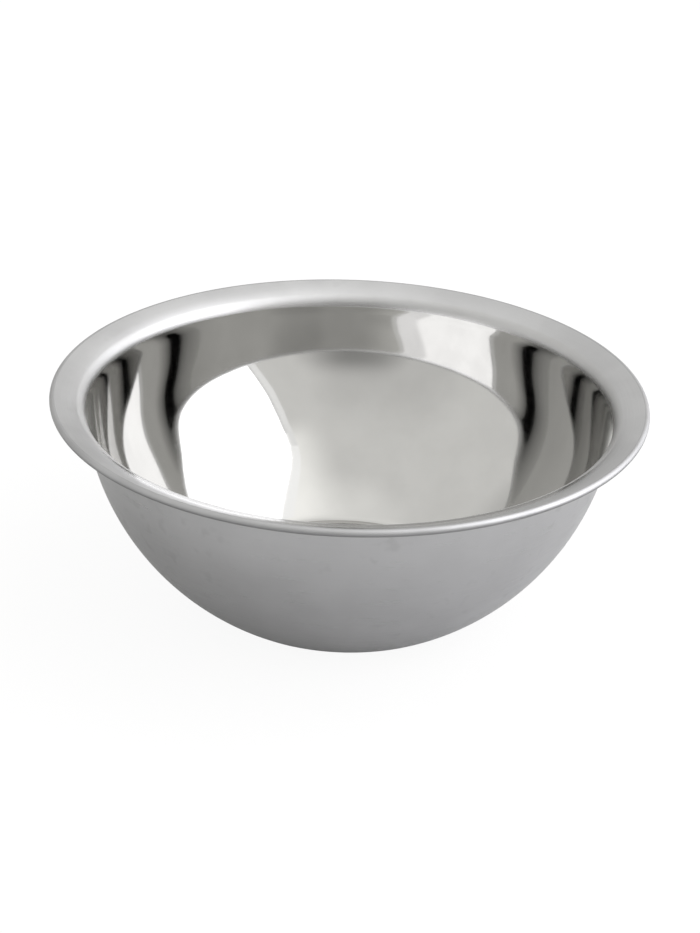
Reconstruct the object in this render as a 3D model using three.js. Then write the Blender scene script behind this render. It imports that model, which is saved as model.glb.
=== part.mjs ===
// A stainless steel mixing bowl: a flat base, a spherical wall, a flared rim and a rolled edge.
// The bowl is formed from one round sheet. Each zone of the sheet is its own solid here, and
// neighbouring zones meet face to face. Millimetres, +Z up, with the origin under the base's centre.

import * as THREE from 'three';

// Driving dimensions
const RIM_DIAMETER = 240; // across the rolled edge
const HEIGHT = 89; // from the table to the top of the rolled edge
const BASE_DIAMETER = 104; // the flat that the bowl stands on
const SHEET = 0.6; // thickness of the steel
const HEEL_RADIUS = 12; // inside radius where the base turns up into the wall
const RIM_WIDTH = 14.2; // level distance from the mouth's inner face to the outermost edge
const RIM_BEND_RADIUS = 4.5; // underside radius where the wall turns out into the flare
const FLARE_ANGLE = 18.5; // degrees that the flare rises from level
const EDGE_HOLLOW = 1.8; // inside diameter of the rolled edge
const EDGE_TURN = 270; // degrees that the edge is rolled through

// Facets around the axis, and the degrees of arc that one facet of the profile covers
const FACETS_AROUND = 80;
const WALL_STEP = 5;
const HEEL_STEP = 7;
const RIM_BEND_STEP = 11;
const EDGE_STEP = 24;

// Finishes, from the photographed steel
const POLISHED = { color: 0xc9cacb, roughness: 0.16, metalness: 1 };
const SATIN = { color: 0xbfc0c2, roughness: 0.34, metalness: 1 };

// Radii at the middle of the sheet
const HALF_SHEET = SHEET / 2;
const heelRadius = HEEL_RADIUS + HALF_SHEET;
const bendRadius = RIM_BEND_RADIUS + HALF_SHEET;
const edgeRadius = EDGE_HOLLOW / 2 + HALF_SHEET;
const edgeOuterRadius = edgeRadius + HALF_SHEET;

// The profile lies in a half plane: x is the distance from the axis and y is the height
const flare = THREE.MathUtils.degToRad(FLARE_ANGLE);
const flareAlong = new THREE.Vector2(Math.cos(flare), Math.sin(flare));
const flareNormal = new THREE.Vector2(-Math.sin(flare), Math.cos(flare));

const heelCentre = new THREE.Vector2(BASE_DIAMETER / 2, HALF_SHEET + heelRadius);
const edgeCentre = new THREE.Vector2(RIM_DIAMETER / 2 - edgeOuterRadius, HEIGHT - edgeOuterRadius);
const flareTop = edgeCentre.clone().addScaledVector(flareNormal, edgeRadius);

// The rim bend touches the flare from below, and its innermost reach is the mouth
const mouthRadius = RIM_DIAMETER / 2 - RIM_WIDTH;
const bendCentre = flareTop.clone().addScaledVector(flareNormal, -bendRadius);
const bendX = mouthRadius + HALF_SHEET + bendRadius;
bendCentre.addScaledVector(flareAlong, (bendX - bendCentre.x) / flareAlong.x);
const flareFoot = bendCentre.clone().addScaledVector(flareNormal, bendRadius);

const wall = sphereBetween(heelCentre, heelRadius, bendCentre, bendRadius);
const heelJoint = angleFrom(wall.centre, heelCentre);
const bendJoint = angleFrom(wall.centre, bendCentre);
const wallMiddle = (heelJoint + bendJoint) / 2;
const flareJoint = flare + Math.PI / 2;
const edgeEnd = flareJoint - THREE.MathUtils.degToRad(EDGE_TURN);

// The circle centred on the axis that the inner circle touches from inside and the outer circle
// from outside. Taking one distance equation from the other makes the centre's height linear in
// the radius (height = offset - slope * radius), which leaves a quadratic in the radius.
function sphereBetween(inner, innerRadius, outer, outerRadius) {
  const rise = outer.y - inner.y;
  const sum = innerRadius + outerRadius;
  const difference = outerRadius - innerRadius;
  const offset = (outer.lengthSq() - inner.lengthSq() - sum * difference) / (2 * rise);
  const slope = sum / rise;
  const drop = offset - inner.y;
  const square = 1 - slope * slope;
  const linear = slope * drop - innerRadius;
  const constant = inner.x * inner.x + drop * drop - innerRadius * innerRadius;
  const radius = (Math.sqrt(linear * linear + square * constant) - linear) / square;
  return { centre: new THREE.Vector2(0, offset - slope * radius), radius };
}

function angleFrom(centre, point) {
  return Math.atan2(point.y - centre.y, point.x - centre.x);
}

function arcPoints(centre, radius, start, end, stepDegrees) {
  const steps = Math.ceil(Math.abs(end - start) / THREE.MathUtils.degToRad(stepDegrees));
  return Array.from({ length: steps + 1 }, (_, i) => {
    const angle = start + ((end - start) * i) / steps;
    return new THREE.Vector2(Math.cos(angle), Math.sin(angle)).multiplyScalar(radius).add(centre);
  });
}

// A bent strip of sheet: the two faces of an arc, joined at both ends
function bentProfile(centre, radius, start, end, stepDegrees) {
  const outside = arcPoints(centre, radius + HALF_SHEET, start, end, stepDegrees);
  const inside = arcPoints(centre, radius - HALF_SHEET, end, start, stepDegrees);
  const turnsLeft = end > start;
  return turnsLeft ? [...outside, ...inside] : [...inside.reverse(), ...outside.reverse()];
}

function straightProfile(from, to, normal) {
  const low = [from, to].map((point) => point.clone().addScaledVector(normal, -HALF_SHEET));
  const high = [to, from].map((point) => point.clone().addScaledVector(normal, HALF_SHEET));
  return [...low, ...high];
}

function revolve(name, profile, finish) {
  const onAxis = profile[0].x === 0;
  const outline = onAxis ? profile : [...profile, profile[0].clone()];
  const geometry = new THREE.LatheGeometry(outline, FACETS_AROUND);
  geometry.rotateX(Math.PI / 2);
  const mesh = new THREE.Mesh(geometry, new THREE.MeshStandardMaterial(finish));
  mesh.name = name;
  return mesh;
}

function basePanel() {
  const edge = BASE_DIAMETER / 2;
  const corners = [[0, 0], [edge, 0], [edge, SHEET], [0, SHEET]];
  return revolve('base_panel', corners.map(([x, y]) => new THREE.Vector2(x, y)), POLISHED);
}

function heelBend() {
  const profile = bentProfile(heelCentre, heelRadius, -Math.PI / 2, heelJoint, HEEL_STEP);
  return revolve('heel_bend', profile, POLISHED);
}

function wallRing(name, start, end) {
  return revolve(name, bentProfile(wall.centre, wall.radius, start, end, WALL_STEP), POLISHED);
}

function rimBend() {
  const profile = bentProfile(bendCentre, bendRadius, bendJoint + Math.PI, flareJoint, RIM_BEND_STEP);
  return revolve('rim_bend', profile, POLISHED);
}

function rimFlare() {
  return revolve('rim_flare', straightProfile(flareFoot, flareTop, flareNormal), SATIN);
}

function rolledEdge() {
  const profile = bentProfile(edgeCentre, edgeRadius, flareJoint, edgeEnd, EDGE_STEP);
  return revolve('rolled_edge', profile, SATIN);
}

const bowl = new THREE.Group();
bowl.name = 'mixing_bowl';
bowl.add(
  basePanel(),
  heelBend(),
  wallRing('lower_wall', heelJoint, wallMiddle),
  wallRing('upper_wall', wallMiddle, bendJoint),
  rimBend(),
  rimFlare(),
  rolledEdge(),
);

export default bowl;
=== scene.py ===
# %% [markdown]
# # A stainless steel mixing bowl
# The bowl is pressed from one round sheet of steel: a flat base, a spherical wall, a flared rim
# and an edge that is rolled over. It is mirror polished inside and satin outside. This lesson
# models each zone of the sheet over its CAD solid, gives it its finish and lights it in a small
# studio. Lengths are in metres, +Z is up, and the camera looks along +Y.

# %% Load the frame
import math

import bpy
from mathutils import Matrix, Vector


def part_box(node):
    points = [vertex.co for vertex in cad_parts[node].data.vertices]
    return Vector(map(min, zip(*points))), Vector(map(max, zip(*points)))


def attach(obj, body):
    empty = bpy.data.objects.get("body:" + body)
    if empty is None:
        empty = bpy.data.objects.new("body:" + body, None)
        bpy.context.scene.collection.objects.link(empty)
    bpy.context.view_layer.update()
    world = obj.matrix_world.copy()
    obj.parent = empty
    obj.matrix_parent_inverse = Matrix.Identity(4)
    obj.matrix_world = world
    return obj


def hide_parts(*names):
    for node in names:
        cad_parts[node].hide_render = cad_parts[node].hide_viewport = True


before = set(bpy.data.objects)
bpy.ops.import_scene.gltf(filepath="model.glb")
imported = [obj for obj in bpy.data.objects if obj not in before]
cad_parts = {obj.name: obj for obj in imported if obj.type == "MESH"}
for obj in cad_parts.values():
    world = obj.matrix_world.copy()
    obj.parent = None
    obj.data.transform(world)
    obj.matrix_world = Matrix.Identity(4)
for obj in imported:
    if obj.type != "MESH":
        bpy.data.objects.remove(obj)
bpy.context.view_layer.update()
print("CAD nodes:", ", ".join(sorted(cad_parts)))

# %% [markdown]
# ## The sheet's sizes
# The CAD solids are right in size, but they have facets, and a mirror shows every one of them.
# So each zone is modelled again from its true arcs, with the driving sizes that the CAD has.

# %% Driving sizes
_, edge_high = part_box("rolled_edge")
base_low, base_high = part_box("base_panel")
RIM_RADIUS = edge_high.x  # to the outside of the rolled edge
HEIGHT = edge_high.z  # to the top of the rolled edge
BASE_RADIUS = base_high.x  # of the flat that the bowl stands on
SHEET = 0.0006  # thickness of the steel
HEEL_RADIUS = 0.012  # inside radius from the base into the wall
RIM_WIDTH = 0.0142  # level, from the mouth's inner face to the outermost edge
RIM_BEND_RADIUS = 0.0045  # underside radius from the wall into the flare
FLARE_ANGLE = math.radians(18.5)  # rise of the flare from level
EDGE_HOLLOW = 0.0018  # inside diameter of the rolled edge
EDGE_TURN = math.radians(270)  # how far round the edge is rolled

print(f"rim radius {RIM_RADIUS:.4f}, height {HEIGHT:.4f}, base radius {BASE_RADIUS:.4f}")
print(f"the frame's sheet is {base_high.z - base_low.z:.5f} thick, and {SHEET} here")

# %% [markdown]
# ## The profile
# Half of the bowl, cut through its axis, is a chain of arcs that run smoothly into each other.
# A point of that half plane is a Vector of (distance from the axis, height), and every radius
# here is at the middle of the sheet. The wall's circle has its centre on the axis. It holds the
# heel's circle inside it and touches the rim bend's circle outside it, which leaves a quadratic.

# %% Centres and joints of the arcs
HALF_SHEET = SHEET / 2
heel_radius = HEEL_RADIUS + HALF_SHEET
bend_radius = RIM_BEND_RADIUS + HALF_SHEET
edge_radius = EDGE_HOLLOW / 2 + HALF_SHEET


def heading(angle):
    """The direction at an angle from level, in the half plane."""
    return Vector((math.cos(angle), math.sin(angle)))


def angle_from(centre, point):
    return math.atan2(point.y - centre.y, point.x - centre.x)


def wall_circle(heel, bend):
    """The wall's centre and radius, from the centres of the heel and of the rim bend."""
    rise = bend.y - heel.y
    total = heel_radius + bend_radius
    difference = bend_radius - heel_radius
    offset = (bend.length_squared - heel.length_squared - total * difference) / (2 * rise)
    slope = total / rise
    drop = offset - heel.y
    square = 1 - slope * slope
    linear = slope * drop - heel_radius
    constant = heel.x * heel.x + drop * drop - heel_radius * heel_radius
    radius = (math.sqrt(linear * linear + square * constant) - linear) / square
    return Vector((0, offset - slope * radius)), radius


flare_along = heading(FLARE_ANGLE)
flare_normal = heading(FLARE_ANGLE + math.pi / 2)
edge_inset = edge_radius + HALF_SHEET
heel_centre = Vector((BASE_RADIUS, HALF_SHEET + heel_radius))
edge_centre = Vector((RIM_RADIUS - edge_inset, HEIGHT - edge_inset))
flare_top = edge_centre + flare_normal * edge_radius
bend_centre = flare_top - flare_normal * bend_radius
bend_reach = RIM_RADIUS - RIM_WIDTH + HALF_SHEET + bend_radius
bend_centre += flare_along * ((bend_reach - bend_centre.x) / flare_along.x)
flare_foot = bend_centre + flare_normal * bend_radius
wall_centre, wall_radius = wall_circle(heel_centre, bend_centre)
heel_joint = angle_from(wall_centre, heel_centre)
bend_joint = angle_from(wall_centre, bend_centre)
wall_middle = (heel_joint + bend_joint) / 2
flare_joint = FLARE_ANGLE + math.pi / 2
print(f"wall: radius {wall_radius:.4f}, centre {wall_centre.y:.4f} above the table")

# %% [markdown]
# ## Drawing and spinning a zone
# A turned piece is made as on a lathe: its outline is drawn once and spun round the axis. The
# outline starts as a small plane merged into a single point, which is extruded from place to
# place. Spin leaves double points where it closes and on the axis, so they are merged, and the
# normals are then turned outwards.

# %% Tools for the sheet
STEPS_AROUND = 240
MERGE_DISTANCE = 1e-6


def arc(centre, radius, start, end, steps):
    angles = [start + (end - start) * i / steps for i in range(steps + 1)]
    return [centre + radius * heading(angle) for angle in angles]


def bent_outline(centre, radius, start, end, step):
    """Both faces of a bent strip of sheet, as one loop."""
    steps = math.ceil(abs(end - start) / step)
    near_face = arc(centre, radius - HALF_SHEET, start, end, steps)
    far_face = arc(centre, radius + HALF_SHEET, end, start, steps)
    return near_face + far_face + near_face[:1]


def spin_piece(name, outline):
    points = [Vector((p.x, 0, p.y)) for p in outline]
    bpy.ops.object.select_all(action="DESELECT")
    bpy.ops.mesh.primitive_plane_add(size=SHEET)
    piece = bpy.context.object
    piece.name = name
    piece.data.name = name
    bpy.ops.object.mode_set(mode="EDIT")
    bpy.ops.mesh.merge(type="CENTER")
    bpy.ops.transform.translate(value=points[0])
    for here, there in zip(points, points[1:]):
        bpy.ops.mesh.extrude_region_move(TRANSFORM_OT_translate={"value": there - here})
    bpy.ops.mesh.select_all(action="SELECT")
    bpy.ops.mesh.remove_doubles(threshold=MERGE_DISTANCE)
    bpy.ops.mesh.spin(steps=STEPS_AROUND, angle=2 * math.pi, center=(0, 0, 0), axis=(0, 0, 1))
    bpy.ops.mesh.select_all(action="SELECT")
    bpy.ops.mesh.remove_doubles(threshold=MERGE_DISTANCE)
    bpy.ops.mesh.normals_make_consistent(inside=False)
    bpy.ops.object.mode_set(mode="OBJECT")
    return piece


# %% [markdown]
# ## One mirror from several pieces
# Smooth shading bends the light by the normals at the corners. Where a piece ends, Blender only
# knows the faces on one side, so its normals there are a little off, and a mirror would show a
# line. The sheet's true normal is known, though: it points away from the centre of its arc. Each
# corner gets that one, and only the narrow faces where two zones meet stay flat.

# %% Normals of the true arcs, and the two sides of the sheet
FACES_SIDEWAYS = 0.5  # a face that is square to the sheet lies below this
SMOOTH_ANGLE = math.radians(40)  # sharper edges stay sharp
NEAR_SLOT, FAR_SLOT = 0, 1  # the sheet's side towards the centre of its arc, and the other


def sheet_normal(place, direction):
    """The sheet's normal in space, at a place where direction gives it in the half plane."""
    radius = math.hypot(place.x, place.y)
    across, up = direction(Vector((radius, place.z)))
    outwards = Vector((place.x, place.y, 0)) / max(radius, MERGE_DISTANCE)
    return (outwards * across + Vector((0, 0, up))).normalized()


def dress_sheet(piece, direction, near_finish, far_finish):
    """Sets the normals, and gives each side of the sheet its finish."""
    mesh = piece.data
    mesh.materials.append(near_finish)
    mesh.materials.append(far_finish)
    bpy.ops.object.shade_smooth_by_angle(angle=SMOOTH_ANGLE)
    normals = [Vector((0, 0, 1))] * len(mesh.loops)
    for face in mesh.polygons:
        side = sheet_normal(face.center, direction).dot(face.normal)
        face.material_index = FAR_SLOT if side > -FACES_SIDEWAYS else NEAR_SLOT
        for corner in face.loop_indices:
            place = mesh.vertices[mesh.loops[corner].vertex_index].co
            true_normal = sheet_normal(place, direction) * math.copysign(1, side)
            normals[corner] = true_normal if abs(side) > FACES_SIDEWAYS else face.normal.copy()
    mesh.normals_split_custom_set(normals)


def away_from(centre):
    return lambda place: (place - centre).normalized()


def place_piece(piece, node):
    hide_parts(node)
    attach(piece, "root")
    print(f"{piece.name}: {len(piece.data.polygons)} faces, stands for {node}")


# %% [markdown]
# ## Finishes
# Polished steel is a mirror with a slight haze: the press leaves shallow waves in the sheet, and
# the polishing wheel leaves hairlines round the bowl. Satin steel has the same lines, but deeper
# and closer, and they spread the light. Use leaves faint specks on it. These effects are shared,
# so each is a node group, which puts out a plain value.

# %% Node helpers


def add_node(tree, kind, values=None, **settings):
    """Adds a node, sets its properties and then its inputs by name or number."""
    node = tree.nodes.new(kind)
    for name, value in settings.items():
        setattr(node, name, value)
    for name, value in (values or {}).items():
        node.inputs[name].default_value = value
    return node


def compute(tree, operation, first, second, **settings):
    """A Math node on two values, each of which is another node's output or a plain number."""
    node = add_node(tree, "ShaderNodeMath", operation=operation, **settings)
    for socket, value in zip(node.inputs, (first, second)):
        if isinstance(value, float):
            socket.default_value = value
        else:
            tree.links.new(value, socket)
    return node.outputs[0]


def ramp(tree, value, low, high, start, end):
    """A value that goes smoothly from start to end while the given one goes from low to high."""
    limits = {"From Min": low, "From Max": high, "To Min": start, "To Max": end}
    step = add_node(tree, "ShaderNodeMapRange", limits, interpolation_type="SMOOTHSTEP")
    tree.links.new(value, step.inputs["Value"])
    return step.outputs["Result"]


# %% Group helpers


def new_group(name, inputs, output):
    """A group that reads a place and some numbers, given with their defaults, and has one output."""
    group = bpy.data.node_groups.new(name, "ShaderNodeTree")
    group.interface.new_socket("Place", in_out="INPUT", socket_type="NodeSocketVector")
    for socket, default in inputs.items():
        made = group.interface.new_socket(socket, in_out="INPUT", socket_type="NodeSocketFloat")
        made.default_value = default
    group.interface.new_socket(output, in_out="OUTPUT", socket_type="NodeSocketFloat")
    print("group:", name)
    return group, add_node(group, "NodeGroupInput"), add_node(group, "NodeGroupOutput")


def use_group(tree, group, place):
    node = add_node(tree, "ShaderNodeGroup", node_tree=group)
    tree.links.new(place, node.inputs["Place"])
    return node.outputs[0]


def noise_of_width(group, group_in, width, values):
    """Soft noise whose patches are about as wide as the group's input of that name says."""
    noise = add_node(group, "ShaderNodeTexNoise", values)
    group.links.new(group_in.outputs["Place"], noise.inputs["Vector"])
    group.links.new(compute(group, "DIVIDE", 1.0, group_in.outputs[width]), noise.inputs["Scale"])
    return noise.outputs["Fac"]


# %% [markdown]
# ### Polishing lines
# The lines run round the axis, so the noise is stretched along the circle. Its coordinates are
# the direction from the axis, which changes slowly, and the height and the distance from the axis
# added together, which changes fast up the sheet. The direction is used and not the angle, because
# an angle jumps where it closes.

# %% Group of polishing lines
LINE_SPACING = 0.0006  # metres from line to line
LINE_TURN = 0.3  # radians that a line goes round the bowl

lines_inputs = {"Spacing": LINE_SPACING, "Turn": LINE_TURN}
lines_group, lines_in, lines_out = new_group("polishing lines", lines_inputs, "Lines")
links = lines_group.links
level = add_node(lines_group, "ShaderNodeVectorMath", {1: (1, 1, 0)}, operation="MULTIPLY")
away = add_node(lines_group, "ShaderNodeVectorMath", operation="LENGTH")
around = add_node(lines_group, "ShaderNodeVectorMath", operation="NORMALIZE")
run = add_node(lines_group, "ShaderNodeVectorMath", operation="SCALE")
split = add_node(lines_group, "ShaderNodeSeparateXYZ")
stack = add_node(lines_group, "ShaderNodeCombineXYZ")
place = add_node(lines_group, "ShaderNodeVectorMath", operation="ADD")
grain = add_node(lines_group, "ShaderNodeTexNoise", {"Scale": 1.0, "Detail": 3.0, "Roughness": 0.6})
links.new(lines_in.outputs["Place"], level.inputs[0])
links.new(level.outputs[0], away.inputs[0])
links.new(level.outputs[0], around.inputs[0])
links.new(around.outputs[0], run.inputs[0])
turns = compute(lines_group, "DIVIDE", 1.0, lines_in.outputs["Turn"])
links.new(turns, run.inputs["Scale"])
links.new(lines_in.outputs["Place"], split.inputs[0])
along = compute(lines_group, "ADD", split.outputs["Z"], away.outputs["Value"])
count = compute(lines_group, "DIVIDE", along, lines_in.outputs["Spacing"])
links.new(count, stack.inputs["Z"])
links.new(run.outputs[0], place.inputs[0])
links.new(stack.outputs[0], place.inputs[1])
links.new(place.outputs[0], grain.inputs["Vector"])
links.new(grain.outputs["Fac"], lines_out.inputs["Lines"])

# %% [markdown]
# ### Press waves
# A pressed sheet is never quite true. Soft noise gives the shallow waves that make the
# reflections wander a little. They could be sculpted into the mesh, but they are far shallower
# than the sheet is thick, so a bump is enough.

# %% Group of press waves
WAVE_WIDTH = 0.03

waves_group, waves_in, waves_out = new_group("press waves", {"Width": WAVE_WIDTH}, "Height")
soft_noise = {"Detail": 1.0, "Roughness": 0.35}
waves = noise_of_width(waves_group, waves_in, "Width", soft_noise)
waves_group.links.new(waves, waves_out.inputs["Height"])

# %% [markdown]
# ### Specks of use
# A used bowl has small dull specks, which lie in loose groups. They could be painted one by one,
# but a fine noise does it by itself: only its peaks become specks, and a broad noise says where.

# %% Group of specks
SPECK_WIDTH = 0.006
SPECK_PEAK_LOW, SPECK_PEAK_HIGH = 0.52, 0.8  # the part of the fine noise that is a speck
CLUSTER_WIDTH = 0.05
CLUSTER_LOW, CLUSTER_HIGH = 0.46, 0.62  # the part of the broad noise that has any specks

specks_inputs = {"Width": SPECK_WIDTH, "Cluster width": CLUSTER_WIDTH}
specks_group, specks_in, specks_out = new_group("specks", specks_inputs, "Specks")
cloudy = {"Detail": 1.5}
fine = noise_of_width(specks_group, specks_in, "Width", cloudy)
broad = noise_of_width(specks_group, specks_in, "Cluster width", cloudy)
peaks = ramp(specks_group, fine, SPECK_PEAK_LOW, SPECK_PEAK_HIGH, 0.0, 1.0)
clusters = ramp(specks_group, broad, CLUSTER_LOW, CLUSTER_HIGH, 0.0, 1.0)
specks = compute(specks_group, "MULTIPLY", peaks, clusters)
specks_group.links.new(specks, specks_out.inputs["Specks"])

# %% [markdown]
# ### Steel
# One function makes every finish, because they are the same metal: a tone that drifts over the
# sheet like wiped smudges, lines that vary the roughness, and two bumps, one for the lines and one
# for the waves. The parts that only some finishes have are left out of the others: specks, a
# painted shade on the underside, a rougher top, and a face that looks smoother along the sheet than
# from above.

# %% Tone of the steel
SMUDGE_SIZE = 0.024  # metres over which the steel's tone drifts
DRIFT_LOW, DRIFT_HIGH = 0.3, 0.7  # the noise seldom goes past these


def drifting_tone(tree, place, dark, light):
    drift = add_node(tree, "ShaderNodeTexNoise", {"Scale": 1 / SMUDGE_SIZE, "Detail": 3.0})
    tree.links.new(place, drift.inputs["Vector"])
    tone = add_node(tree, "ShaderNodeMix", data_type="RGBA")
    tone.inputs["A"].default_value = (*dark, 1)
    tone.inputs["B"].default_value = (*light, 1)
    share = ramp(tree, drift.outputs["Fac"], DRIFT_LOW, DRIFT_HIGH, 0.0, 1.0)
    tree.links.new(share, tone.inputs["Factor"])
    return tone.outputs["Result"]


def dimmed(tree, colour, share):
    """A colour of which only a share is left."""
    dim = add_node(tree, "ShaderNodeVectorMath", operation="SCALE")
    tree.links.new(colour, dim.inputs[0])
    tree.links.new(share, dim.inputs["Scale"])
    return dim.outputs[0]


# %% Relief of the steel


def relief(tree, shader, lines, line_depth, waves, wave_depth):
    """Puts the lines on top of the waves, as bumps of the given depths in metres."""
    wave = add_node(tree, "ShaderNodeBump", {"Strength": 1.0, "Distance": wave_depth})
    scratch = add_node(tree, "ShaderNodeBump", {"Strength": 1.0, "Distance": line_depth})
    tree.links.new(waves, wave.inputs["Height"])
    tree.links.new(lines, scratch.inputs["Height"])
    tree.links.new(wave.outputs["Normal"], scratch.inputs["Normal"])
    tree.links.new(scratch.outputs["Normal"], shader.inputs["Normal"])


# %% [markdown]
# ### The deepest reflections
# Near the rim, light goes from wall to wall many times. The renderer gives up after a few bounces
# and would show black there. So the last bounce glows with about the light that it would bring.

# %% Glow of the last bounce
LAST_BOUNCE = 3.5  # the renderer follows a reflection no further than this
DEEP_TONE = (1.0, 1.0, 0.975)
DEEP_LEFT, DEEP_RIGHT = 0.24, 0.5  # brightness, from one side of the bowl to the other


def glow_when_deep(tree, shader, across):
    depth = add_node(tree, "ShaderNodeLightPath").outputs["Ray Depth"]
    deep = compute(tree, "GREATER_THAN", depth, LAST_BOUNCE)
    brightness = ramp(tree, across, -RIM_RADIUS, RIM_RADIUS, DEEP_LEFT, DEEP_RIGHT)
    shader.inputs["Emission Color"].default_value = (*DEEP_TONE, 1)
    tree.links.new(compute(tree, "MULTIPLY", deep, brightness), shader.inputs["Emission Strength"])


# %% One function for every finish
LINE_LOW, LINE_HIGH = 0.2, 0.8  # the lines' noise seldom goes past these
GRAZING_LOW, GRAZING_HIGH = 0.74, 0.92  # from a tilted view to one along the sheet
GRAZING_SHARE = 0.35  # of the roughness that is left there


def steel(name, tones, roughness, line_depth, wave_depth, speck_share=None, underside_shade=None, rougher=None,
          grazing=False):
    """Steel between two tones, dark and light. roughness is (least, most).

    speck_share is the share of the tone that a speck leaves, underside_shade is a painted shade that
    darkens the underside, given as (low height, high height, share of the tone left at the low one),
    and rougher is (low height, high height, roughness added at the high one).
    """
    material = bpy.data.materials.new(name)
    material.use_nodes = True
    tree = material.node_tree
    shader = tree.nodes["Principled BSDF"]
    shader.inputs["Metallic"].default_value = 1.0
    place = add_node(tree, "ShaderNodeTexCoord").outputs["Object"]
    split = add_node(tree, "ShaderNodeSeparateXYZ")
    tree.links.new(place, split.inputs[0])
    across, height = split.outputs["X"], split.outputs["Z"]
    lines = use_group(tree, lines_group, place)

    colour = drifting_tone(tree, place, *tones)
    # Painted shade: the tone gets darker towards the low height.
    if underside_shade:
        low, high, share_left = underside_shade
        colour = dimmed(tree, colour, ramp(tree, height, low, high, share_left, 1.0))
    if speck_share:
        specks = use_group(tree, specks_group, place)
        colour = dimmed(tree, colour, ramp(tree, specks, 0.0, 1.0, 1.0, speck_share))
    tree.links.new(colour, shader.inputs["Base Color"])

    rough = ramp(tree, lines, LINE_LOW, LINE_HIGH, *roughness)
    if rougher:
        low, high, added = rougher
        rough = compute(tree, "ADD", rough, ramp(tree, height, low, high, 0.0, added))
    if grazing:
        facing = add_node(tree, "ShaderNodeLayerWeight").outputs["Facing"]
        share_left = ramp(tree, facing, GRAZING_LOW, GRAZING_HIGH, 1.0, GRAZING_SHARE)
        rough = compute(tree, "MULTIPLY", rough, share_left)
    tree.links.new(rough, shader.inputs["Roughness"])

    glow_when_deep(tree, shader, across)
    relief(tree, shader, lines, line_depth, use_group(tree, waves_group, place), wave_depth)
    print("material:", name)
    return material


# %% [markdown]
# ### The finishes
# The inside is polished, and its tone is a little warm. The outside and the rim are satin. The
# bend is smoother at its foot and gets rougher on its way to the satin flare. The rolled edge is
# the dullest, and its underside is darkened with painted shade.

# %% Finishes of the sheet
polished = steel(
    "polished inside",
    tones=((0.51, 0.507, 0.497), (0.54, 0.537, 0.527)),
    roughness=(0.03, 0.07),
    line_depth=3e-7,
    wave_depth=7e-5,
)
satin = steel(
    "satin outside",
    tones=((0.505, 0.505, 0.512), (0.535, 0.535, 0.542)),
    roughness=(0.26, 0.4),
    line_depth=1.6e-6,
    wave_depth=6e-5,
    speck_share=0.9,
)

# %% Finishes of the rim
bend_steel = steel(
    "rim bend",
    tones=((0.51, 0.508, 0.508), (0.55, 0.55, 0.552)),
    roughness=(0.2, 0.26),
    line_depth=6e-7,
    wave_depth=2e-5,
    rougher=(bend_centre.y, flare_foot.y, 0.3),
)
rim_satin = steel(
    "satin rim",
    tones=((0.495, 0.495, 0.502), (0.545, 0.545, 0.552)),
    roughness=(0.32, 0.46),
    line_depth=2e-6,
    wave_depth=3e-5,
    speck_share=0.95,
    grazing=True,
)
edge_satin = steel(
    "satin rolled edge",
    tones=((0.4, 0.4, 0.405), (0.45, 0.45, 0.455)),
    roughness=(0.46, 0.56),
    line_depth=1e-6,
    wave_depth=1e-5,
    # painted shade on the lower half of the curl
    underside_shade=(edge_centre.y - edge_radius / 2, edge_centre.y + edge_radius / 2, 0.7),
)

# %% [markdown]
# ## The base and the heel
# The base is the flat disc that the bowl stands on, and the heel turns it up into the wall. A
# cylinder would do for the disc, but a spun outline has the same steps round the axis as its
# neighbour, so their edges meet. That outline starts and ends on the axis.

# %% Base and heel
HEEL_STEP = math.radians(4)

base_outline = [Vector(p) for p in ((0, 0), (BASE_RADIUS, 0), (BASE_RADIUS, SHEET), (0, SHEET))]
base = spin_piece("base_panel_sheet", base_outline)
dress_sheet(base, lambda place: Vector((0, -1)), polished, satin)
place_piece(base, "base_panel")

heel_outline = bent_outline(heel_centre, heel_radius, -math.pi / 2, heel_joint, HEEL_STEP)
heel = spin_piece("heel_bend_sheet", heel_outline)
dress_sheet(heel, away_from(heel_centre), polished, satin)
place_piece(heel, "heel_bend")

# %% [markdown]
# ## The wall
# The wall is part of a sphere. The CAD has it as two rings, and so has the scene. With the true
# normals, no seam shows between them. The press leaves shallow rings in a real wall: its slope
# swings by a degree on the way up. That moves the surface by a tenth of a millimetre only, so it
# goes into the normals, where the mirror shows it.

# %% Wall
WALL_STEP = math.radians(1)
RING_SPACING = 0.0365  # height from ring to ring
RING_PEAK = 0.0298  # a height where the wall is at its steepest
RING_LEAN = math.radians(1.06)  # how far the rings turn the normal at most
WALL_LEAN = math.radians(0.3)  # how far it is turned at every height
EASE_LENGTH = 0.005  # the top of the wall, where it begins to turn out
WALL_EASE = math.radians(6)  # how far it has turned at the very top

wall_top = wall_centre + heading(bend_joint) * wall_radius


def wall_direction(place):
    """Away from the wall's centre, but turned by the press rings and by the start of the bend."""
    ring_share = math.cos(2 * math.pi * (place.y - RING_PEAK) / RING_SPACING)
    ease_share = max(0, 1 - (wall_top.y - place.y) / EASE_LENGTH) ** 2
    lean = WALL_LEAN + RING_LEAN * ring_share - WALL_EASE * ease_share
    return heading(angle_from(wall_centre, place) + lean)


wall_rings = {"lower_wall": (heel_joint, wall_middle), "upper_wall": (wall_middle, bend_joint)}
for ring, (start, end) in wall_rings.items():
    wall = spin_piece(ring + "_sheet", bent_outline(wall_centre, wall_radius, start, end, WALL_STEP))
    dress_sheet(wall, wall_direction, polished, satin)
    place_piece(wall, ring)

# %% [markdown]
# ## The rim
# At the top the sheet bends outwards, so this arc's centre lies under the sheet, and the face
# away from it is the one on top. A straight flare follows, and then the edge is rolled outwards
# and down into a hollow curl. All of this could be one outline, but the zones have different
# finishes, so they are separate pieces, as in the CAD. The bend eases into the flare, which the
# normals of both show.

# %% Bend
BEND_STEP = math.radians(4)
BEND_DELAY = 1.7  # over 1, the bend turns late
FLARE_EASE = math.radians(14)  # how far the bend still has to turn where the flare begins

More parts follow.
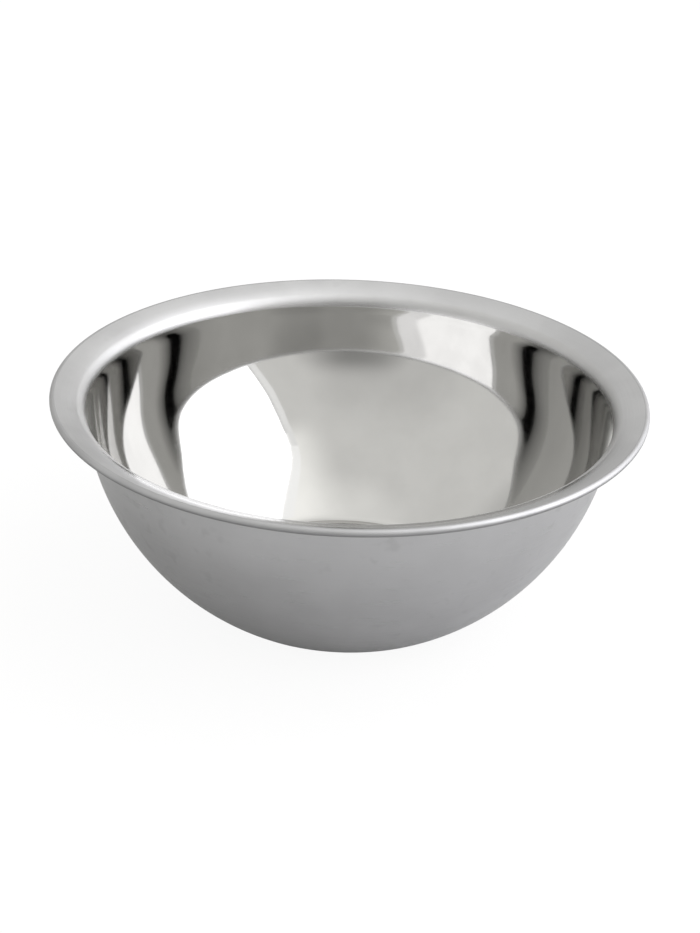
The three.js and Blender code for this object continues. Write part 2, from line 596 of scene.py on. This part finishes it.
bend_start = bend_joint + math.pi


def bend_direction(place):
    """Follows on from the wall, turns late, and is behind by FLARE_EASE where the flare begins."""
    share = (bend_start - angle_from(bend_centre, place)) / (bend_start - flare_joint)
    turn = bend_start - flare_joint - WALL_EASE - FLARE_EASE
    return heading(bend_start - WALL_EASE - turn * max(share, 0) ** BEND_DELAY)


bend_outline = bent_outline(bend_centre, bend_radius, bend_start, flare_joint, BEND_STEP)
bend = spin_piece("rim_bend_sheet", bend_outline)
dress_sheet(bend, bend_direction, satin, bend_steel)
place_piece(bend, "rim_bend")

# %% Flare
FLARE_STRIPS = 8


def flare_direction(place):
    """Square to the flare at its top, and turned by FLARE_EASE at its foot."""
    share = (flare_top.x - place.x) / (flare_top.x - flare_foot.x)
    return heading(flare_joint + FLARE_EASE * min(max(share, 0), 1) ** 2)


shares = [i / FLARE_STRIPS for i in range(FLARE_STRIPS + 1)]
flare_line = [flare_foot.lerp(flare_top, share) for share in shares]
under_face = [p - flare_normal * HALF_SHEET for p in flare_line]
upper_face = [p + flare_normal * HALF_SHEET for p in reversed(flare_line)]
flare = spin_piece("rim_flare_sheet", under_face + upper_face + under_face[:1])
dress_sheet(flare, flare_direction, satin, rim_satin)
place_piece(flare, "rim_flare")

# %% Rolled edge
EDGE_STEP = math.radians(7.5)

edge_outline = bent_outline(edge_centre, edge_radius, flare_joint, flare_joint - EDGE_TURN, EDGE_STEP)
edge = spin_piece("rolled_edge_sheet", edge_outline)
dress_sheet(edge, away_from(edge_centre), edge_satin, edge_satin)
place_piece(edge, "rolled_edge")

# %% [markdown]
# ## Camera
# The camera stands where the photograph was taken: almost a metre away, half a metre up and with
# a long lens. It leans by two degrees, which lifts the left side of the rim. It could be turned by
# hand until the picture fits, but a place that follows from an elevation and a distance is easier
# to correct.

# %% Camera
VIEW_TARGET = Vector((0.001, 0, 0.055))  # in the middle of the picture
VIEW_ELEVATION = math.radians(26.48)
VIEW_DISTANCE = 0.96
VIEW_LEAN = math.radians(2.06)
LENS_MM = 90.8

view_back = Vector((0, -math.cos(VIEW_ELEVATION), math.sin(VIEW_ELEVATION)))
camera_place = VIEW_TARGET + view_back * VIEW_DISTANCE
bpy.ops.object.camera_add(location=camera_place)
camera = bpy.context.object
camera.data.lens = LENS_MM
aim = (-view_back).to_track_quat("-Z", "Y").to_matrix() @ Matrix.Rotation(VIEW_LEAN, 3, "Z")
camera.rotation_euler = aim.to_euler()
bpy.context.scene.camera = camera
print("camera at", [round(x, 3) for x in camera_place])

# %% [markdown]
# ## Studio
# Bare metal has no look of its own: it shows the room. Here that is a white room, a pale table,
# a large rounded softbox on the right that leans over the bowl, and the dark camera. The softbox
# is a mesh and not an area lamp, which would be a plain bright square in the mirror.
#
# ### Softbox
# The softbox gives the white patch inside the bowl. It is a plane with rounded corners, and two
# insets part its bright front from the dim hem and from the half bright cloth around it.

# %% Glowing cloth
FAR_START, FAR_END = 0.24, 0.32  # metres from the softbox's middle, where its far side gets dimmer


def glow(name, strength, colour=(1, 1, 1), far_share=1.0):
    """A glowing cloth. far_share of its strength is left at its far side."""
    material = bpy.data.materials.new(name)
    material.use_nodes = True
    tree = material.node_tree
    tree.nodes.clear()
    split = add_node(tree, "ShaderNodeSeparateXYZ")
    tree.links.new(add_node(tree, "ShaderNodeTexCoord").outputs["Object"], split.inputs[0])
    light = add_node(tree, "ShaderNodeEmission", {"Color": (*colour, 1)})
    fading = ramp(tree, split.outputs["X"], FAR_START, FAR_END, strength, strength * far_share)
    tree.links.new(fading, light.inputs["Strength"])
    out = add_node(tree, "ShaderNodeOutputMaterial")
    tree.links.new(light.outputs[0], out.inputs["Surface"])
    return material


# %% Softbox
SOFTBOX_WIDTH = 1.22  # of its bright front
SOFTBOX_SEAM = 0.022  # dim hem around the front
SOFTBOX_SKIRT = 0.07  # half bright cloth outside the hem
SOFTBOX_CORNER = 0.49  # share of its width that a rounded corner takes
SOFTBOX_CORNER_STEPS = 8
SOFTBOX_ROUNDING = 0.6  # profile of its corners, a little squarer than a circle
SOFTBOX_DISTANCE = 0.775
SOFTBOX_TILT = math.radians(29)
FRONT_GLOW, SEAM_GLOW, SKIRT_GLOW = 3.2, 1.0, 1.35
FRONT_TINT = (0.99, 0.99, 1.01)
FAR_SHARE = 0.74  # of the front's glow that is left at its far side
TOP_GLOW = 1.6  # of hem and cloth away from the camera, where more light spills on them
HEM_END = -0.55  # metres from its middle, where the dim hem ends
SKIRT, SEAM, FRONT, TOP = range(4)  # its material slots

softbox_size = SOFTBOX_WIDTH + 2 * (SOFTBOX_SEAM + SOFTBOX_SKIRT)
bpy.ops.object.select_all(action="DESELECT")
bpy.ops.mesh.primitive_plane_add(size=softbox_size)
softbox = bpy.context.object
softbox.name = "softbox"
softbox.data.materials.append(glow("softbox skirt", SKIRT_GLOW))
softbox.data.materials.append(glow("softbox seam", SEAM_GLOW))
softbox.data.materials.append(glow("softbox front", FRONT_GLOW, FRONT_TINT, FAR_SHARE))
softbox.data.materials.append(glow("softbox top", TOP_GLOW))
bpy.ops.object.mode_set(mode="EDIT")
bpy.ops.mesh.bevel(
    affect="VERTICES",
    offset=SOFTBOX_CORNER * softbox_size,
    segments=SOFTBOX_CORNER_STEPS,
    profile=SOFTBOX_ROUNDING,
)
bpy.ops.mesh.select_all(action="SELECT")
for inner_slot, thickness in ((SEAM, SOFTBOX_SKIRT), (FRONT, SOFTBOX_SEAM)):
    bpy.ops.mesh.inset(thickness=thickness)
    softbox.active_material_index = inner_slot
    bpy.ops.object.material_slot_assign()
bpy.ops.object.mode_set(mode="OBJECT")
for face in softbox.data.polygons:
    if face.material_index != FRONT and face.center.x > HEM_END:
        face.material_index = TOP

# %% Place of the softbox
softbox_way = Vector((math.cos(SOFTBOX_TILT), 0, math.sin(SOFTBOX_TILT)))
softbox.rotation_euler = softbox_way.to_track_quat("Z", "Y").to_euler()
softbox.location = softbox_way * SOFTBOX_DISTANCE
softbox.visible_camera = False
print("softbox at", [round(x, 3) for x in softbox.location])

# %% [markdown]
# ### Dark camera
# The camera gives the dark stripes on the wall. A disc behind the lens stands for it: dark in its
# middle, and clearing outwards, since the things around a camera are dim rather than black. The
# stripes are reflections of reflections, so only those show the disc, and the light that falls
# straight on the bowl passes it.

# %% Shade of the dark camera
DARK_RADIUS = 0.095  # quite dark up to here
SHADE_RADIUS = 0.46  # clear from here on
SHADE_LEFT, SHADE_RIGHT = 0.75, 1.6  # it clears sooner on the right
SHADE_POWER = 0.5  # under 1, it clears soon
ONE_BOUNCE = 1.5  # a reflection of a reflection is past this

dark_paint = bpy.data.materials.new("dark camera")
dark_paint.use_nodes = True
tree = dark_paint.node_tree
tree.nodes.clear()
place = add_node(tree, "ShaderNodeTexCoord").outputs["Object"]
split = add_node(tree, "ShaderNodeSeparateXYZ")
off_axis = add_node(tree, "ShaderNodeVectorMath", operation="LENGTH")
edge_share = add_node(tree, "ShaderNodeMapRange", {"From Min": DARK_RADIUS, "From Max": SHADE_RADIUS})
tree.links.new(place, split.inputs[0])
tree.links.new(place, off_axis.inputs[0])
tree.links.new(off_axis.outputs["Value"], edge_share.inputs["Value"])
side = ramp(tree, split.outputs["X"], -SHADE_RADIUS, SHADE_RADIUS, SHADE_LEFT, SHADE_RIGHT)
reach = compute(tree, "MULTIPLY", edge_share.outputs["Result"], side)
clearing = compute(tree, "POWER", reach, SHADE_POWER)
shade = compute(tree, "SUBTRACT", 1.0, clearing, use_clamp=True)
bounces = add_node(tree, "ShaderNodeLightPath").outputs["Glossy Depth"]
later = compute(tree, "GREATER_THAN", bounces, ONE_BOUNCE)

clear = add_node(tree, "ShaderNodeBsdfTransparent")
black = add_node(tree, "ShaderNodeEmission", {"Color": (0, 0, 0, 1), "Strength": 0.0})
blend = add_node(tree, "ShaderNodeMixShader")
out = add_node(tree, "ShaderNodeOutputMaterial")
tree.links.new(compute(tree, "MULTIPLY", later, shade), blend.inputs["Fac"])
tree.links.new(clear.outputs[0], blend.inputs[1])
tree.links.new(black.outputs[0], blend.inputs[2])
tree.links.new(blend.outputs[0], out.inputs["Surface"])

# %% Disc of the dark camera
DARK_BEHIND = 0.03  # metres behind the lens
DARK_CORNERS = 48

bpy.ops.object.select_all(action="DESELECT")
bpy.ops.mesh.primitive_circle_add(vertices=DARK_CORNERS, radius=SHADE_RADIUS, fill_type="NGON")
dark = bpy.context.object
dark.name = "dark_camera"
dark.data.materials.append(dark_paint)
dark.rotation_euler = aim.to_euler()
dark.location = camera_place + view_back * DARK_BEHIND
dark.visible_camera = False
dark.visible_diffuse = False
print("dark camera at", [round(x, 3) for x in dark.location])

# %% [markdown]
# ### Table
# The camera sees a table that is almost plain white and keeps a faint shadow of the bowl. The
# steel shows it as grey, as a matt top is darker than the room that lights it. So the share of
# plain white depends on who looks.

# %% Table
TABLE_SIZE = 6.0
TABLE_GREY = 0.53
TABLE_WHITE = 1.08
SEEN_WHITE = 0.85  # share of plain white that the camera sees
MIRRORED_WHITE = 0.05  # share of it that the steel shows

bpy.ops.object.select_all(action="DESELECT")
bpy.ops.mesh.primitive_plane_add(size=TABLE_SIZE)
table = bpy.context.object
table.name = "table"
table_paint = bpy.data.materials.new("pale table")
table_paint.use_nodes = True
tree = table_paint.node_tree
tree.nodes.clear()
matt = add_node(tree, "ShaderNodeBsdfDiffuse", {"Color": (TABLE_GREY, TABLE_GREY, TABLE_GREY, 1)})
white = add_node(tree, "ShaderNodeEmission", {"Color": (1, 1, 1, 1), "Strength": TABLE_WHITE})
path = add_node(tree, "ShaderNodeLightPath")
seen = compute(tree, "MULTIPLY", path.outputs["Is Camera Ray"], SEEN_WHITE)
mirrored = compute(tree, "MULTIPLY", path.outputs["Is Glossy Ray"], MIRRORED_WHITE)
blend = add_node(tree, "ShaderNodeMixShader")
out = add_node(tree, "ShaderNodeOutputMaterial")
tree.links.new(compute(tree, "ADD", seen, mirrored), blend.inputs["Fac"])
tree.links.new(matt.outputs[0], blend.inputs[1])
tree.links.new(white.outputs[0], blend.inputs[2])
tree.links.new(blend.outputs[0], out.inputs["Surface"])
table.data.materials.append(table_paint)
print("table:", TABLE_SIZE, "metres wide")

# %% [markdown]
# ### White room
# A real white room isn't equally bright all over: the ceiling is lighter, the softbox lights the
# walls near it, and the far side and a corner are dim. A mirror shows all of that. The world
# is plain white to the camera, and for everything else some patches of light are added to it or
# taken from it. A patch lies where a direction in the room goes far enough along X, Y and Z, or
# points near enough to the softbox or to the dim corner.

# %% Patches of the room's light
CORNER_WAY = Vector((-0.71, 0.6, 0.375))  # to the dim corner, at the back on the left

# The light that each patch adds, and for each measure where the patch begins and where it is full
ROOM_PATCHES = {
    "ceiling": (0.2, {"up": (0.9, 1.0)}),
    "back of the ceiling": (0.16, {"up": (0.75, 0.9), "back": (0.1, 0.4)}),
    "back wall": (-0.16, {"back": (0.2, 0.9)}),
    "foot of the back wall": (-0.4, {"back": (0.6, 0.95), "up": (0.26, 0.05)}),
    "over the softbox": (0.22, {"softbox": (0.45, 0.78), "up": (0.55, 0.72)}),
    "over its front": (0.33, {"softbox": (0.45, 0.78), "up": (0.55, 0.72), "back": (0.6, 0.2)}),
    "wall by the softbox": (0.6, {"softbox": (0.25, 0.95), "back": (0.2, 0.5), "up": (0.68, 0.5)}),
    "low behind the camera": (-0.45, {"back": (-0.86, -1.0), "up": (0.46, 0.18)}),
    "beside the camera": (-0.16, {"right": (0.35, 0.0), "back": (-0.4, -0.85), "up": (0.75, 0.35)}),
    "dim corner": (-0.15, {"corner": (0.88, 0.995)}),
}


def fade(tree, value, start, full):
    """Goes from 0 to 1 while the value goes from start to full, upwards or downwards."""
    if start < full:
        return ramp(tree, value, start, full, 0.0, 1.0)
    return ramp(tree, value, full, start, 1.0, 0.0)


# %% White room
ROOM_WHITE = 1.0
ROOM_TINT = (1.0, 0.995, 0.972)

world = bpy.data.worlds.new("white room")
bpy.context.scene.world = world
world.use_nodes = True
tree = world.node_tree
tree.nodes.clear()
way = add_node(tree, "ShaderNodeTexCoord").outputs["Generated"]
split = add_node(tree, "ShaderNodeSeparateXYZ")
tree.links.new(way, split.inputs[0])
measures = {"right": split.outputs["X"], "back": split.outputs["Y"], "up": split.outputs["Z"]}
for name, direction in (("softbox", softbox_way), ("corner", CORNER_WAY)):
    nearness = add_node(tree, "ShaderNodeVectorMath", {1: direction}, operation="DOT_PRODUCT")
    tree.links.new(way, nearness.inputs[0])
    measures[name] = nearness.outputs["Value"]

added = 0.0
for amount, limits in ROOM_PATCHES.values():
    patch = amount
    for measure, (start, full) in limits.items():
        patch = compute(tree, "MULTIPLY", fade(tree, measures[measure], start, full), patch)
    added = compute(tree, "ADD", patch, added)

# %% What the camera sees of the room
seen = add_node(tree, "ShaderNodeLightPath").outputs["Is Camera Ray"]
added = compute(tree, "MULTIPLY", added, compute(tree, "SUBTRACT", 1.0, seen))
tint = add_node(tree, "ShaderNodeMix", data_type="RGBA")
tint.inputs["A"].default_value = (*ROOM_TINT, 1)
tint.inputs["B"].default_value = (1, 1, 1, 1)
room = add_node(tree, "ShaderNodeBackground")
out = add_node(tree, "ShaderNodeOutputWorld")
tree.links.new(seen, tint.inputs["Factor"])
tree.links.new(tint.outputs["Result"], room.inputs["Color"])
tree.links.new(compute(tree, "ADD", added, ROOM_WHITE), room.inputs["Strength"])
tree.links.new(room.outputs[0], out.inputs["Surface"])
bpy.context.scene.view_settings.view_transform = "Standard"
print("room:", ", ".join(ROOM_PATCHES))
